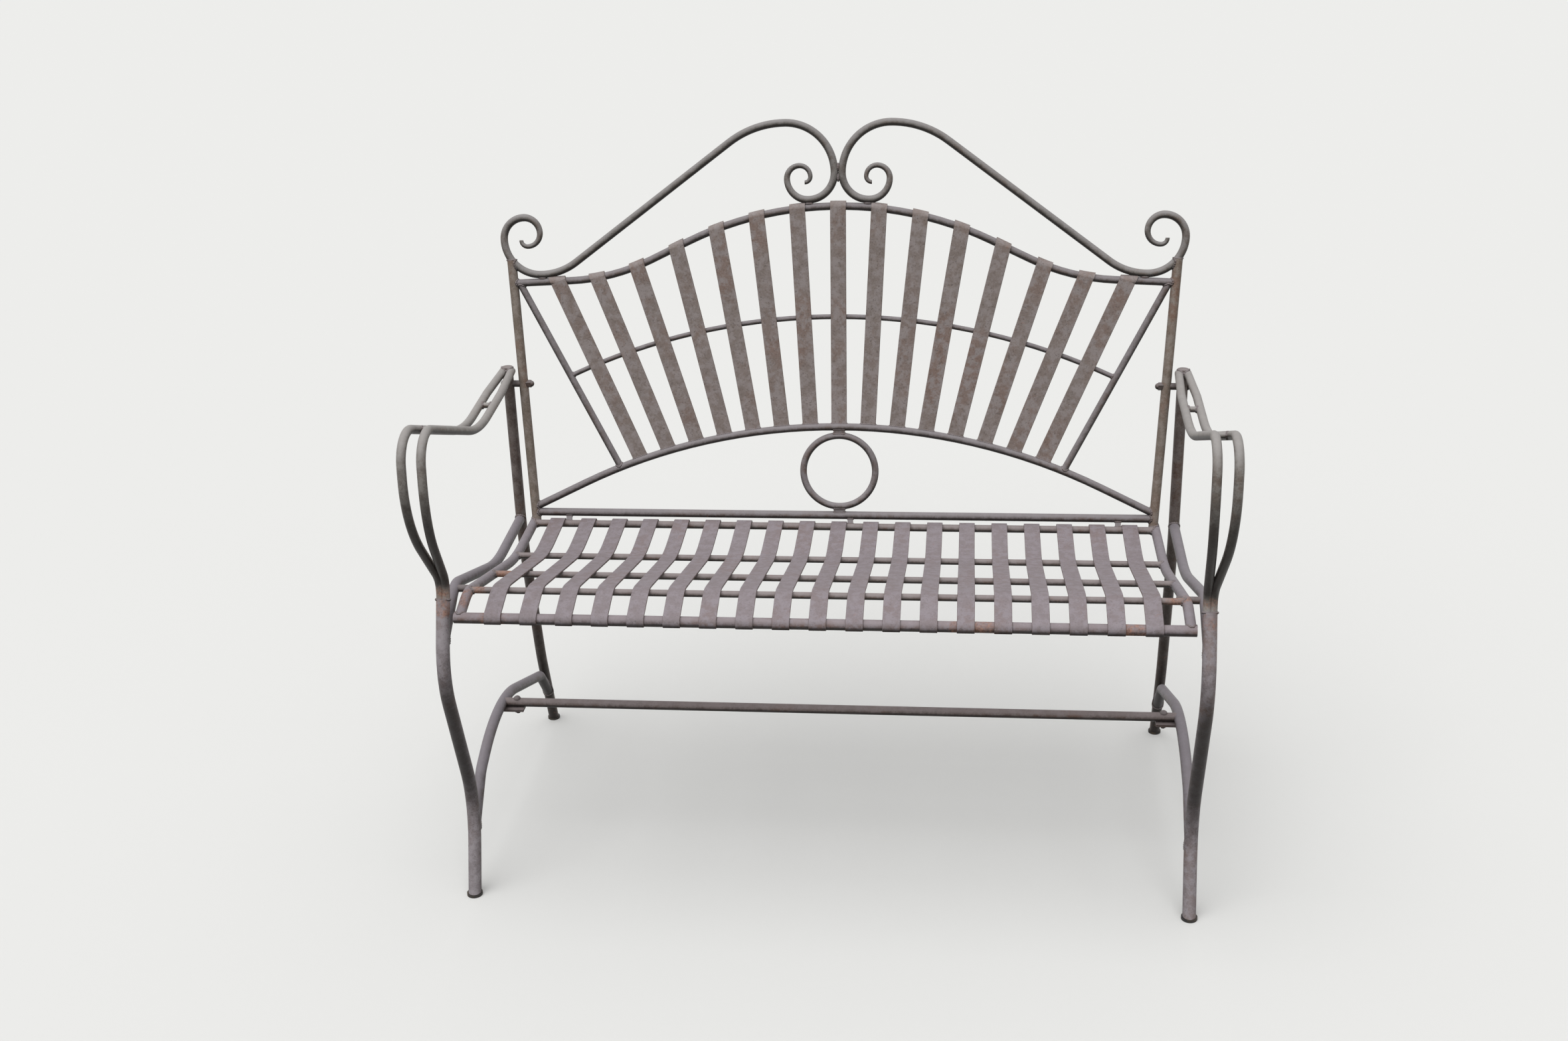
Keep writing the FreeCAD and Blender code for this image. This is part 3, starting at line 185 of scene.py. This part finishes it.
def old_paint(name, paint, pale, brown, chalk, bleach_and_highlight, rust, roughness, grain=ROUND_BAR_GRAIN, places=(),
              flat=False):
    """Weathered paint on iron: mottle, chalky bleaching with a painted highlight on top, painted shade
    underneath, worn edges and rust, with bump and roughness to match.
    """
    finish = bpy.data.materials.new(name)
    finish.use_nodes = True
    tree = finish.node_tree
    tree.nodes.clear()
    skin = put(tree, "ShaderNodeBsdfPrincipled", {"Specular IOR Level": SHEEN})
    put(tree, "ShaderNodeOutputMaterial", {"Surface": skin.outputs[0]})
    where = put(tree, "ShaderNodeTexCoord").outputs
    spot, facing = where["Object"], where["Normal"]

    def step(group, **feeds):
        feeds = {key.capitalize(): value for key, value in feeds.items()}
        return put(tree, "ShaderNodeGroup", feeds, node_tree=group).outputs

    dark = tuple(part * DARK_SHARE for part in paint[:3]) + (1.0,)
    mottle = step(paint_mottle, vector=spot, paint=paint, pale=pale, brown=brown, dark=dark, grain=grain)
    # Painted highlight on top and painted shade underneath, laid over the mottle
    bleached_shaded = step(bleach_highlight_shade, colour=mottle["Colour"], chalk=chalk, grime=PAINTED_SHADE, vector=spot, normal=facing,
                 amount=bleach_and_highlight, shadow=SHADE_SHARE)
    coat = bleached_shaded["Colour"]
    if flat:
        coat = step(edge_wear, colour=coat, worn=WORN, vector=spot, normal=facing)["Colour"]
    blooms = 0.0
    for centre, reach in places:
        bloom = step(rust_place, vector=spot, centre=centre, reach=reach)["Mask"]
        blooms = reckon(tree, "MAXIMUM", blooms, bloom)
    rusted = step(rust_bloom, colour=coat, rust=RUST, scab=SCAB, vector=spot, amount=rust, place=blooms)
    tree.links.new(rusted["Colour"], skin.inputs["Base Color"])
    dull = reckon(tree, "ADD", reckon(tree, "MULTIPLY", rusted["Mask"], RUST_DULLS), roughness)
    dull = reckon(tree, "ADD", dull, reckon(tree, "MULTIPLY", bleached_shaded["Mask"], CHALK_DULLS))
    dull = reckon(tree, "ADD", dull, reckon(tree, "MULTIPLY", mottle["Grain"], GRAIN_DULLS))
    tree.links.new(dull, skin.inputs["Roughness"])
    relief = reckon(tree, "ADD", mottle["Grain"], rusted["Mask"])
    bump = put(tree, "ShaderNodeBump", {"Strength": BUMP_SHARE, "Distance": BUMP_HEIGHT, "Height": relief})
    tree.links.new(bump.outputs[0], skin.inputs["Normal"])
    return finish


def dress(finish, *names):
    """Gives CAD pieces their finish."""
    for name in names:
        iron[name].data.materials.clear()
        iron[name].data.materials.append(finish)


LEG_TOP_RUST = [((-0.544, -0.2476, 0.492), 0.03), ((0.544, -0.2476, 0.492), 0.03)]
leg_paint = old_paint(
    "leg_paint", paint=shade(129, 120, 122), pale=shade(158, 150, 154), brown=shade(130, 106, 95),
    chalk=shade(164, 158, 162), bleach_and_highlight=0.75, rust=0.10, roughness=0.42, places=LEG_TOP_RUST)
dress(leg_paint, "left_front_leg", "right_front_leg")
rear_paint = old_paint(
    "rear_leg_paint", paint=shade(110, 98, 92), pale=shade(138, 127, 123), brown=shade(124, 92, 75),
    chalk=shade(150, 142, 142), bleach_and_highlight=0.70, rust=0.26, roughness=0.42)
dress(rear_paint, "left_rear_leg", "right_rear_leg")


# Feet: moulded black plastic plugs pushed into the four tube ends, with a flange that stands on
# the ground. They are scuffed all over and brown with soil in patches.
BLACK_PLASTIC = shade(40, 38, 37)
PLASTIC_ROUGHNESS = 0.55
SOIL = shade(92, 78, 62)
SOIL_SCALE = 120.0
SOIL_DULLS = 0.25
SCUFF_SCALE = 600.0
SCUFF_SHARE = 0.3
SCUFF_HEIGHT = 0.0004
foot_plastic = bpy.data.materials.new("foot_plastic")
foot_plastic.use_nodes = True
tree = foot_plastic.node_tree
skin = tree.nodes["Principled BSDF"]
where = put(tree, "ShaderNodeTexCoord").outputs["Object"]
soil = fade(tree, cloud(tree, where, SOIL_SCALE, detail=5.0, roughness=0.7), 0.45, 0.7, at_high=0.8)
tree.links.new(tint(tree, soil, BLACK_PLASTIC, SOIL), skin.inputs["Base Color"])
dull = reckon(tree, "ADD", reckon(tree, "MULTIPLY", soil, SOIL_DULLS), PLASTIC_ROUGHNESS)
tree.links.new(dull, skin.inputs["Roughness"])
scuff = cloud(tree, where, SCUFF_SCALE)
scuff = put(tree, "ShaderNodeBump", {"Strength": SCUFF_SHARE, "Distance": SCUFF_HEIGHT, "Height": scuff})
tree.links.new(scuff.outputs[0], skin.inputs["Normal"])
dress(foot_plastic, "foot_plugs")


# Arches and seat supports: bent tubes welded between the front and rear leg of each side,
# the arch low down and the support along the edge of the seat.
brace_paint = old_paint(
    "brace_paint", paint=shade(102, 94, 94), pale=shade(132, 125, 129), brown=shade(108, 88, 78),
    chalk=shade(144, 138, 144), bleach_and_highlight=0.80, rust=0.08, roughness=0.42)
dress(brace_paint, "left_leg_arch", "right_leg_arch", "left_seat_support", "right_seat_support")


# Arms: on each side two solid round bars that rise from the leg top, spread at the knuckle
# and close at the rear leg, held apart by two short round spacers.
ARM_FOOT_RUST = [((-0.544, -0.240, 0.512), 0.026), ((0.544, -0.240, 0.512), 0.026)]
arm_paint = old_paint(
    "arm_paint", paint=shade(121, 114, 108), pale=shade(151, 146, 141), brown=shade(122, 101, 86),
    chalk=shade(166, 162, 160), bleach_and_highlight=0.80, rust=0.12, roughness=0.38, places=ARM_FOOT_RUST)
dress(arm_paint, "left_arm_outer", "left_arm_inner", "right_arm_outer", "right_arm_inner", "arm_spacers")


# Side frame welds: a bead of weld runs round every bar end that meets a leg, an arch or an arm.
# Laid by hand and a little rippled, the beads are painted over with the frame and rust first.
SIDE_BEAD = 0.0019
RIPPLE_PITCH = 0.0034
RIPPLE_DEPTH = 0.16
TOUCH = 0.0004
SAME_POINT = 0.00001
CORNER_MERGE = 0.4
BEAD_STEP = RIPPLE_PITCH / 3
HALVINGS = 5

# An outline gets no bead where it runs inside another, as a bore's does, or is far shorter than the longest.
# The first is told by the distance of their centres, in bead sizes, and the second by a share of the length.
SAME_CENTRE = 2.0
SHORT_LOOP = 0.55


def pick(*objects):
    """Selects these objects and nothing else, and makes the first one active."""
    bpy.ops.object.select_all(action="DESELECT")
    for thing in objects:
        thing.select_set(True)
    bpy.context.view_layer.objects.active = objects[0]


def middle(points):
    """The point in the middle of others."""
    return sum(points, Vector()) / len(points)


def lies_on(piece, point, reach):
    """Whether a point is on the surface of a CAD piece, or within a reach of it."""
    return iron[piece].closest_point_on_mesh(point, distance=reach)[0]


def joint_outline(bar, against, reach):
    """A wire along the outline of the bar's end face, where it lies on the piece that it is welded to."""
    trace = bpy.data.objects.new("weld_trace", iron[bar].data.copy())
    bpy.context.collection.objects.link(trace)
    pick(trace)
    bpy.ops.object.mode_set(mode="EDIT")
    bpy.ops.mesh.select_mode(type="EDGE")
    bpy.ops.mesh.select_all(action="SELECT")
    bpy.ops.mesh.remove_doubles(threshold=SAME_POINT)
    bpy.ops.mesh.select_all(action="DESELECT")
    shell = bmesh.from_edit_mesh(trace.data)
    touching = {vert: lies_on(against, vert.co, reach) for vert in shell.verts}
    for edge in shell.edges:
        sides = [all(touching[vert] for vert in face.verts) for face in edge.link_faces]
        edge.select_set(sorted(sides) == [False, True])
    bmesh.update_edit_mesh(trace.data)
    bpy.ops.mesh.select_all(action="INVERT")
    bpy.ops.mesh.delete(type="EDGE_FACE")
    bpy.ops.mesh.select_all(action="SELECT")
    bpy.ops.mesh.delete_loose(use_verts=True, use_edges=False, use_faces=False)
    return trace


def weld_bead(bar, against, size, reach=TOUCH):
    """A rippled bead of weld round each end of a bar that lies on another piece, but not round its bore."""
    bead = joint_outline(bar, against, reach)
    bpy.ops.mesh.select_all(action="SELECT")
    bpy.ops.mesh.remove_doubles(threshold=size * CORNER_MERGE)
    for halving in range(HALVINGS):
        bpy.ops.mesh.select_all(action="DESELECT")
        wire = bmesh.from_edit_mesh(bead.data)
        for edge in wire.edges:
            edge.select_set(edge.calc_length() > BEAD_STEP)
        bmesh.update_edit_mesh(bead.data)
        bpy.ops.mesh.subdivide(number_cuts=1)
    bpy.ops.object.mode_set(mode="OBJECT")
    bpy.ops.object.convert(target="CURVE")
    loops = []
    for spline in bead.data.splines:
        points = [Vector(point.co[:3]) for point in spline.points]
        length = sum((after - before).length for before, after in zip(points, points[1:] + points[:1]))
        loops.append((length, middle(points), spline))
    loops.sort(key=lambda loop: loop[0], reverse=True)
    kept = []
    for length, centre, spline in loops:
        inner = any((centre - other).length < size * SAME_CENTRE for other in kept)
        if inner or length < loops[0][0] * SHORT_LOOP:
            bead.data.splines.remove(spline)
            continue
        kept.append(centre)
        travel = 0.0
        before = spline.points[0].co
        for point in spline.points:
            travel += (point.co - before).length
            before = point.co
            point.radius = 1.0 + RIPPLE_DEPTH * math.sin(math.tau * travel / RIPPLE_PITCH)
    bead.data.bevel_depth = size
    bead.data.bevel_resolution = 1
    bpy.ops.object.convert(target="MESH")
    bpy.ops.object.shade_smooth()
    return bead


def weld_piece(name, beads, finish):
    """Joins beads into one piece, with its finish, and fixes it to the bench."""
    pick(*beads)
    bpy.ops.object.join()
    welds = bpy.context.object
    welds.name = name
    welds.data.name = name
    bpy.ops.object.mode_set(mode="EDIT")
    bpy.ops.mesh.select_all(action="SELECT")
    bpy.ops.mesh.normals_make_consistent(inside=False)
    bpy.ops.object.mode_set(mode="OBJECT")
    welds.data.materials.clear()
    welds.data.materials.append(finish)
    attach(welds, "root")


weld_paint = old_paint(
    "weld_paint", paint=shade(106, 96, 93), pale=shade(136, 127, 127), brown=shade(122, 92, 77),
    chalk=shade(146, 138, 140), bleach_and_highlight=0.60, rust=0.30, roughness=0.50)
side_beads = []
for side in ("left", "right"):
    leg, rear, arch = [side + piece for piece in ("_front_leg", "_rear_leg", "_leg_arch")]
    outer, inner = side + "_arm_outer", side + "_arm_inner"
    support = side + "_seat_support"
    for bar, against in ((support, leg), (support, rear), (arch, leg), (arch, rear),
                         (outer, leg), (inner, leg), (outer, rear), (inner, rear),
                         ("arm_spacers", outer), ("arm_spacers", inner), ("stretcher_tabs", arch)):
        side_beads.append(weld_bead(bar, against, SIDE_BEAD))
weld_piece("side_frame_welds", side_beads, weld_paint)


# Stretcher: one straight tube between the two arches, which keeps the side frames apart.
# It is bolted down on a flat tab that is welded to the arch at each end.
stretcher_paint = old_paint(
    "stretcher_paint", paint=shade(106, 95, 92), pale=shade(134, 123, 121), brown=shade(116, 88, 74),
    chalk=shade(144, 134, 134), bleach_and_highlight=0.65, rust=0.16, roughness=0.45)
dress(stretcher_paint, "stretcher", "stretcher_tabs")


# Seat frame: a tube rail each side, a front tube and a rear bar, with three rods across
# for the slats. The front rail has rusted through its paint at two places and at the left corner.
FRONT_RUST = [((0.215, -0.262, 0.486), 0.045), ((0.438, -0.262, 0.486), 0.055),
              ((-0.47, -0.262, 0.486), 0.03)]
front_paint = old_paint(
    "front_rail_paint", paint=shade(120, 108, 108), pale=shade(148, 138, 142), brown=shade(126, 98, 86),
    chalk=shade(156, 146, 150), bleach_and_highlight=0.70, rust=0.22, roughness=0.48, places=FRONT_RUST)
dress(front_paint, "seat_front_rail")
SIDE_RUST = [((-0.517, -0.225, 0.497), 0.04), ((0.517, -0.20, 0.50), 0.02)]
side_paint = old_paint(
    "side_rail_paint", paint=shade(110, 101, 102), pale=shade(142, 134, 139), brown=shade(116, 92, 82),
    chalk=shade(154, 147, 153), bleach_and_highlight=0.75, rust=0.12, roughness=0.45, places=SIDE_RUST)
dress(side_paint, "left_seat_side_rail", "right_seat_side_rail")
ROD_RUST = [((-0.495, -0.086, 0.472), 0.03), ((-0.50, -0.20, 0.50), 0.025), ((0.495, -0.20, 0.50), 0.03)]
rod_paint = old_paint(
    "cross_rod_paint", paint=shade(118, 106, 102), pale=shade(146, 136, 134), brown=shade(122, 94, 82),
    chalk=shade(156, 146, 146), bleach_and_highlight=0.75, rust=0.20, roughness=0.48, places=ROD_RUST)
dress(rod_paint, "seat_cross_rods", "seat_rear_rail")


# Seat slats: nineteen flat bars that follow the seat's dip and crest and wrap over its two rails.
# They lie open to the sky, so they are the palest pieces, with a sandy lilac bloom and worn edges.
FLAT_BAR_GRAIN = 330.0
seat_slats = ["seat_slat_centre"] + ["seat_slat_pair_%d" % number for number in range(1, 10)]
slat_paint = old_paint(
    "seat_slat_paint", paint=shade(128, 117, 117), pale=shade(150, 141, 146), brown=shade(126, 103, 95),
    chalk=shade(150, 141, 146), bleach_and_highlight=0.50, rust=0.16, roughness=0.55, grain=FLAT_BAR_GRAIN, flat=True)
dress(slat_paint, *seat_slats)


# Seat welds: beads round the ends of the cross rods and rails where they meet the side rails,
# of the side rails on the front rail, and of the back posts where they stand on the seat.
SEAT_BEAD = 0.0017
seat_beads = []
for side in ("left", "right"):
    rail = side + "_seat_side_rail"
    post = side + "_back_post"
    for bar, against in (("seat_cross_rods", rail), ("seat_rear_rail", rail), (rail, "seat_front_rail"),
                         (post, rail), (post, "seat_rear_rail")):
        seat_beads.append(weld_bead(bar, against, SEAT_BEAD))
weld_piece("seat_welds", seat_beads, weld_paint)


# Back frame: two tube posts, a bottom bar, a low arch, a bowed top rail, two diagonals and a thin
# rod behind the slats, all butt welded.
post_paint = old_paint(
    "post_paint", paint=shade(123, 111, 99), pale=shade(149, 138, 129), brown=shade(132, 99, 81),
    chalk=shade(155, 146, 142), bleach_and_highlight=0.65, rust=0.24, roughness=0.45)
dress(post_paint, "left_back_post", "right_back_post")
back_paint = old_paint(
    "back_bar_paint", paint=shade(104, 97, 95), pale=shade(132, 125, 126), brown=shade(108, 88, 78),
    chalk=shade(150, 144, 147), bleach_and_highlight=0.75, rust=0.12, roughness=0.45)
dress(back_paint, "back_bottom_rail", "fan_low_arch", "fan_top_rail", "fan_mid_rod",
      "left_fan_diagonal", "right_fan_diagonal")


# Back slats: fifteen flat bars that stand on the low arch, fan out and lap over the top rail.
# They face forward and not to the sky, so they keep more of their brown than the seat's slats.
back_slats = ["back_slat_centre"] + ["back_slat_pair_%d" % number for number in range(1, 8)]
fan_paint = old_paint(
    "back_slat_paint", paint=shade(138, 126, 120), pale=shade(158, 148, 146), brown=shade(136, 110, 98),
    chalk=shade(154, 145, 144), bleach_and_highlight=0.45, rust=0.14, roughness=0.55, grain=FLAT_BAR_GRAIN, flat=True)
dress(fan_paint, *back_slats)


# Ring and links: a round ring on two small pads between the bottom rail and the low arch,
# and three flat links from the bottom rail to the seat.
dress(back_paint, "back_ring", "ring_pads", "back_links")


# Scrolls: two round bars forged to a tapered curl at each end, set mirror fashion on the back.
# Each runs from a curl on its post, over the top rail, to a curl in the middle.
scroll_paint = old_paint(
    "scroll_paint", paint=shade(106, 101, 96), pale=shade(136, 131, 128), brown=shade(112, 95, 84),
    chalk=shade(154, 150, 150), bleach_and_highlight=0.75, rust=0.08, roughness=0.42)
dress(scroll_paint, "left_back_scroll", "right_back_scroll")


# Back welds: beads round every bar end and slat foot of the back, and short runs laid into the
# grooves where the two scrolls touch each other and where each one rests on the top rail.
BACK_BEAD = 0.0016
FOOT_BEAD = 0.0012
ROD_END_REACH = 0.003
back_beads = []
for side in ("left", "right"):
    post, diagonal = side + "_back_post", side + "_fan_diagonal"
    for bar, against in (("back_bottom_rail", post), ("fan_top_rail", post), ("fan_low_arch", post),
                         (diagonal, "fan_low_arch"), (diagonal, "fan_top_rail"),
                         (post, side + "_back_scroll")):
        back_beads.append(weld_bead(bar, against, BACK_BEAD))
    back_beads.append(weld_bead("fan_mid_rod", diagonal, FOOT_BEAD, ROD_END_REACH))
for bar, against in (("ring_pads", "back_ring"), ("ring_pads", "back_bottom_rail"),
                     ("ring_pads", "fan_low_arch"), ("back_links", "seat_rear_rail"),
                     ("back_links", "back_bottom_rail")):
    back_beads.append(weld_bead(bar, against, FOOT_BEAD))
for slat in back_slats:
    back_beads.append(weld_bead(slat, "fan_low_arch", FOOT_BEAD))

RUN_LENGTH = 0.013
RUN_BEAD = 0.0023
RUN_RINGS = 9
RUN_SIDES = 8
RING_SLACK = RUN_LENGTH / RUN_RINGS / 4
RUN_RIPPLE = 0.1
BLUNT_END = 1.05
BACK_LEAN = math.radians(10.0)
panel_up = Vector((0.0, math.sin(BACK_LEAN), math.cos(BACK_LEAN)))
panel_front = Vector((0.0, -math.cos(BACK_LEAN), math.sin(BACK_LEAN)))
panel_across = Vector((1.0, 0.0, 0.0))
bpy.ops.object.select_all(action="DESELECT")
bpy.ops.mesh.primitive_cylinder_add(vertices=RUN_SIDES, radius=RUN_BEAD, depth=RUN_LENGTH)
weld_run = bpy.context.object
bpy.ops.object.mode_set(mode="EDIT")
bpy.ops.mesh.select_mode(type="EDGE")
bpy.ops.mesh.select_all(action="DESELECT")
shell = bmesh.from_edit_mesh(weld_run.data)
for edge in shell.edges:
    edge.select_set(edge.calc_length() > RUN_LENGTH / 2)
bmesh.update_edit_mesh(weld_run.data)
bpy.ops.mesh.subdivide(number_cuts=RUN_RINGS - 2)
bpy.ops.mesh.select_mode(type="VERT")
for ring in range(RUN_RINGS):
    level = RUN_LENGTH * (ring / (RUN_RINGS - 1) - 0.5)
    shell = bmesh.from_edit_mesh(weld_run.data)
    for vert in shell.verts:
        vert.select_set(abs(vert.co.z - level) < RING_SLACK)
    bmesh.update_edit_mesh(weld_run.data)
    ripple = 1 + RUN_RIPPLE if ring % 2 else 1 - RUN_RIPPLE
    swell = math.sqrt(BLUNT_END - (2 * level / RUN_LENGTH) ** 2) * ripple
    bpy.ops.transform.resize(value=(swell, swell, 1.0), center_override=(0.0, 0.0, level))
bpy.ops.object.mode_set(mode="OBJECT")
rounding = weld_run.modifiers.new("rounding", "SUBSURF")
rounding.levels = 1
rounding.render_levels = 1
bpy.ops.object.modifier_apply(modifier=rounding.name)
bpy.ops.object.shade_smooth()


def lay_run(spot, along):
    """A copy of the short run of weld, laid along a groove."""
    along = along.normalized()
    across = along.orthogonal().normalized()
    run = bpy.data.objects.new("weld_run", weld_run.data.copy())
    bpy.context.collection.objects.link(run)
    turned = Matrix((across, along.cross(across), along)).transposed().to_4x4()
    run.matrix_world = Matrix.Translation(spot) @ turned
    pick(run)
    bpy.ops.object.transform_apply(location=True, rotation=True, scale=True)
    return run


# Where the scrolls touch each other, and where each lies on the rail near its curl and near its hollow
GROOVE_DEPTH = 0.0028
GROOVE_HALF = 0.0085
for side in ("left", "right"):
    places = [vert.co for vert in iron[side + "_back_scroll"].data.vertices]
    resting = [place for place in places if lies_on("fan_top_rail", place, TOUCH)]
    halfway = sum(abs(place.x) for place in places) / len(places)
    for near in (True, False):
        seat = middle([place for place in resting if (abs(place.x) < halfway) == near])
        for face in (1.0, -1.0):
            back_beads.append(lay_run(seat + panel_front * (GROOVE_DEPTH * face), panel_across))
places = [vert.co for vert in iron["right_back_scroll"].data.vertices]
inmost = min(place.x for place in places)
meeting = middle([place for place in places if place.x < inmost + TOUCH])
meeting.x = 0.0
for face in (1.0, -1.0):
    for level in (1.0, -1.0):
        spot = meeting + panel_front * (GROOVE_DEPTH * face) + panel_up * (GROOVE_HALF * level)
        back_beads.append(lay_run(spot, panel_up))
bpy.data.objects.remove(weld_run)
weld_piece("back_welds", back_beads, weld_paint)


# Fasteners: domed bolts with nuts, cap nuts and spacers, which hold the back, the seat and the
# stretcher to the side frames. They are painted over with the frame, a little darker.
bolt_paint = old_paint(
    "bolt_paint", paint=shade(84, 76, 73), pale=shade(116, 106, 104), brown=shade(100, 74, 60),
    chalk=shade(138, 131, 132), bleach_and_highlight=0.60, rust=0.30, roughness=0.42)
dress(bolt_paint, "back_bolts", "back_cap_nuts", "back_spacers", "seat_bolts", "seat_spacers",
      "stretcher_bolts", "hex_nuts")


# Studio: a plain pale floor that runs to the horizon, a broad soft lamp overhead and an even sky.
# The floor and the sky are pale to the camera and in reflections, and give back less light than that.
def seen(tree):
    """A mask of the rays that show the backdrop: straight to the camera, in gloss or through glass."""
    ray = put(tree, "ShaderNodeLightPath").outputs
    plain = reckon(tree, "MAXIMUM", ray["Is Camera Ray"], ray["Is Glossy Ray"])
    return reckon(tree, "MAXIMUM", plain, ray["Is Transmission Ray"])


FLOOR_SIZE = 80.0
BACKDROP = shade(232, 232, 230)
FLOOR_GIVES = shade(84, 86, 80)
SKY_GIVES = shade(255, 255, 255)
SKY_LIGHT = 0.55
bpy.ops.object.select_all(action="DESELECT")
bpy.ops.mesh.primitive_plane_add(size=FLOOR_SIZE, location=(0.0, 0.0, 0.0))
floor = bpy.context.object
floor.name = "studio_floor"
floor_finish = bpy.data.materials.new("studio_floor")
floor_finish.use_nodes = True
tree = floor_finish.node_tree
skin = tree.nodes["Principled BSDF"]
skin.inputs["Roughness"].default_value = 1.0
skin.inputs["Specular IOR Level"].default_value = 0.0
tree.links.new(tint(tree, seen(tree), FLOOR_GIVES, BACKDROP), skin.inputs["Base Color"])
floor.data.materials.append(floor_finish)

sky = bpy.data.worlds.new("studio_sky")
bpy.context.scene.world = sky
sky.use_nodes = True
tree = sky.node_tree
glow = tree.nodes["Background"]
tree.links.new(tint(tree, seen(tree), SKY_GIVES, BACKDROP), glow.inputs["Color"])
tree.links.new(fade(tree, seen(tree), 0.0, 1.0, at_low=SKY_LIGHT), glow.inputs["Strength"])

LAMP_PLACE = (-1.0, -2.0, 4.0)
LAMP_FORWARD = math.radians(22)
LAMP_LEFT = math.radians(-14)
LAMP_POWER = 1.75
LAMP_SPREAD = math.radians(70)
bpy.ops.object.light_add(type="SUN", location=LAMP_PLACE, rotation=(LAMP_FORWARD, LAMP_LEFT, 0.0))
lamp = bpy.context.object
lamp.name = "soft_lamp"
lamp.data.energy = LAMP_POWER
lamp.data.angle = LAMP_SPREAD

# Camera: where the photo was taken from, fitted to the bench's main points
CAMERA_PLACE = (0.2078, -2.5107, 1.5809)
CAMERA_PAN = math.radians(6.36)
CAMERA_PITCH = math.radians(67.42)
CAMERA_ROLL = math.radians(-1.75)
SENSOR_WIDTH = 36.0
LENS = 40.84
bpy.ops.object.camera_add(location=CAMERA_PLACE)
camera = bpy.context.object
camera.name = "photo_camera"
turn = Matrix.Rotation(CAMERA_PAN, 4, "Z") @ Matrix.Rotation(CAMERA_PITCH, 4, "X")
turn = turn @ Matrix.Rotation(CAMERA_ROLL, 4, "Z")
camera.rotation_euler = turn.to_euler()
camera.data.sensor_width = SENSOR_WIDTH
camera.data.lens = LENS
bpy.context.scene.camera = camera
bpy.context.scene.view_settings.view_transform = "Standard"
